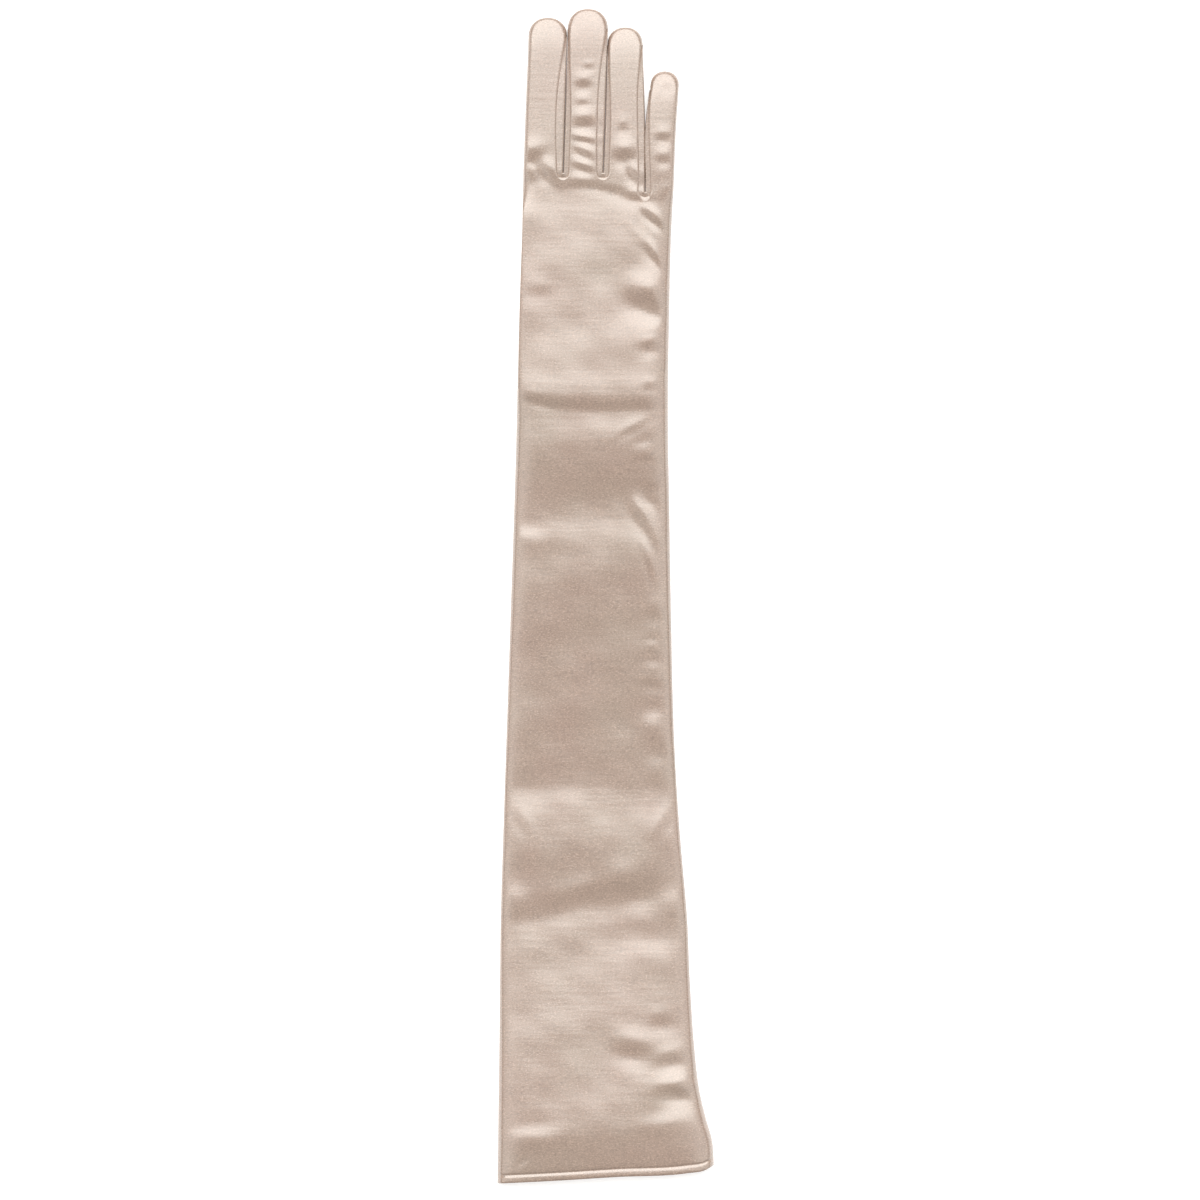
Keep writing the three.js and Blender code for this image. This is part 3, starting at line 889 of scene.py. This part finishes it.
def fork_surface(stations):
    """Across each station the strip bends from the back's edge to the wall and to the palm."""
    points = np.zeros((len(stations), FORK_STEPS + 1, 3))
    for k, (row, column, wall, _) in enumerate(stations):
        wall = np.array(wall)
        edge = np.array([plan["x"][row, column], plan["y"][row, column]])
        top, low = back_height[row, column], palm_height[row, column]
        middle = SEAM_HEIGHT + float(thumb_room(edge[0], edge[1]))
        width = np.linalg.norm(edge - wall)
        for i, turn in enumerate(np.linspace(0, math.pi, FORK_STEPS + 1)):
            share = 1 - math.sin(turn) ** FORK_BEND
            flat = wall + (edge - wall) * share
            from_seam = (1 - share) * width
            swell = SEAM_DEPTH * (1 - bell(from_seam, SEAM_WIDTH))
            swell += FORK_SWELL * bell(from_seam - SEAM_SWELL_AT, SEAM_SWELL_WIDTH)
            reach = abs(math.cos(turn)) ** FORK_BEND
            if turn <= math.pi / 2:
                height = middle + (top - middle + swell) * reach
            else:
                height = middle - (middle - low + 0.4 * swell) * reach
            points[k, i] = (*flat, height)
    return points


def fork_zone(left, right, row, name):
    """Which of the fork's pieces a station belongs to: its base, or one on a finger's body."""
    if name == "hand":
        return "base"
    if row <= plan["crotch_row"] and name == "ring" and right == "pinky":
        return "base"
    return f"{name}_upper" if row >= knuckle_row(name) else f"{name}_lower"


# The fork's satin is the shell's satin painted 3% darker: painted shade for the narrow gaps between the
# fingers.
fork_satin = satin("fork_satin", 0.97)


def make_fork(left, right):
    stations = fork_stations(left, right)
    points = fork_surface(stations)
    quads = grid_quads(len(stations), FORK_STEPS + 1, flip=True)
    normals = face_normals_to_points(points, quads)
    zones = [fork_zone(left, right, row, name) for row, _, _, name in stations]
    quad_zone = []
    for k in quads.min(axis=1) // (FORK_STEPS + 1):
        pair = (zones[k], zones[k + 1])
        quad_zone.append("base" if "base" in pair else pair[0] if "lower" in pair[0] else pair[1])
    quad_zone = np.array(quad_zone)
    own = {zone: quads[quad_zone == zone] for zone in sorted(set(quad_zone))}
    made = {}
    for zone in own:
        name = f"fork_{left}_{right}_{zone}"
        made[zone] = cloth_piece(name, points, normals, own[zone], fork_satin)
    for zone, piece in made.items():
        if zone == "base":
            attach(piece, "hand")
            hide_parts(f"{left}_{right}_fork_base")
            continue
        follow(f"{zone}_fork", piece)
        side = "pinky_side" if zone.startswith(left) else "thumb_side"
        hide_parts(f"{zone}_fork_{side}")
        path = points[np.unique(own[zone] // (FORK_STEPS + 1)), 0]
        length = np.linalg.norm(np.diff(path, axis=0), axis=1).sum()
        lay_sheet(points, own[zone], length)


for neighbours in (("index", "middle"), ("middle", "ring"), ("ring", "pinky")):
    make_fork(*neighbours)

# ---------------------------------------------------------------------------
# Thumb. A stall of two matching pieces of satin, sewn round its edge and set into the
# palm near the wrist end of the index side. On the empty glove it is folded flat
# under the palm and points inwards, so only its outline lifts the glove a little.

THUMB_BASE = np.array([-22.0, 130.0])
THUMB_TURN = math.radians(15)
THUMB_LENGTH = 60.0
THUMB_HALF = (10.3, 9.2)  # half widths at the heel and at the tip
THUMB_HEEL = 2.0
THUMB_TOP = 5.7
THUMB_SEAM = 2.4
THUMB_END_LATE = 9
THUMB_BEND = -THUMB_HEEL + 0.56 * (THUMB_LENGTH - 9.5 + THUMB_HEEL)
THUMB_CREASE = 42  # from its base, across the upper side


def thumb_half(upper):
    """One side of the stall: rows from the heel to the tip, columns across."""
    rows = spread(70, 0.05, 0.05, 0.08)[:, None]
    turn = np.linspace(0, math.pi, 33)[None, :]
    half = THUMB_HALF[0] + (THUMB_HALF[1] - THUMB_HALF[0]) * rows
    across = -half * np.sign(np.cos(turn)) * np.abs(np.cos(turn)) ** 0.9
    bulge = np.sin(turn) ** 0.9
    straight = THUMB_LENGTH - THUMB_HALF[1] + THUMB_HEEL
    along = -THUMB_HEEL + straight * rows + THUMB_HALF[1] * bulge * (rows**4 - (1 - rows) ** 4)
    cap = np.maximum(0, 1 - np.abs(2 * rows - 1) ** THUMB_END_LATE) ** TIP_ROUND
    if upper:
        crease = (along - THUMB_CREASE) / 9
        height = THUMB_SEAM + (THUMB_TOP - THUMB_SEAM) * bulge**0.8 * cap
        height = height + (0.35 * bell(crease, 0.5) - 0.3 * bell(crease + 1.2, 0.4)) * bulge
    else:
        height = THUMB_SEAM - (THUMB_SEAM - PALM_HEIGHT) * np.minimum(1, 1.3 * bulge) * cap
    x = THUMB_BASE[0] + across * math.cos(THUMB_TURN) + along * math.sin(THUMB_TURN)
    y = THUMB_BASE[1] - across * math.sin(THUMB_TURN) + along * math.cos(THUMB_TURN)
    return np.stack([x, y, height], -1), along


def make_thumb():
    for side, upper in (("back", True), ("palm", False)):
        points, along = thumb_half(upper)
        quads = grid_quads(*along.shape, flip=not upper)
        normals = face_normals_to_points(points, quads)
        rows = quads.min(axis=1) // along.shape[1]
        cut = int(np.searchsorted(along[:, 0], THUMB_BEND - JOINT_REACH))
        for segment, mask in (("lower", rows < cut), ("upper", rows >= cut)):
            name = f"satin_thumb_{segment}_{side}"
            length = np.ptp(along[:cut] if segment == "lower" else along[cut:])
            piece = cloth_piece(name, points, normals, quads[mask], shell_satin)
            lay_sheet(points, quads[mask], length)
            if segment == "lower":
                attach(piece, "thumb_lower")
            else:
                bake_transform(piece)
            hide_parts(f"thumb_{segment}_{side}")


make_thumb()

# ---------------------------------------------------------------------------
# Hem. The sleeve's end is turned to the inside once and stitched, so a second layer of
# satin, dull side out, lines the mouth.

HEM_DEPTH = 10.5
HEM_INSET = 0.12
HEM_CLOTH = 0.35


def make_hem_facing(side, points, normals, quads):
    own = quads[row_of(quads) < sleeve_cut(MOUTH_Y + HEM_DEPTH)]
    sunk = points.reshape(-1, 3) - unit(normals) * (CLOTH + HEM_INSET)
    facing = cloth_piece(f"hem_facing_{side}", sunk, normals, own, hem_satin, HEM_CLOTH)
    lay_sheet(sunk, own, HEM_DEPTH)
    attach(facing, "upper_arm")
    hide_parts(f"hem_{side}")


hem_satin = satin("hem_satin", 0.94, 0.5)
make_hem_facing("back", back_points, back_normals, back_quads)
make_hem_facing("palm", palm_points, palm_normals, palm_quads)
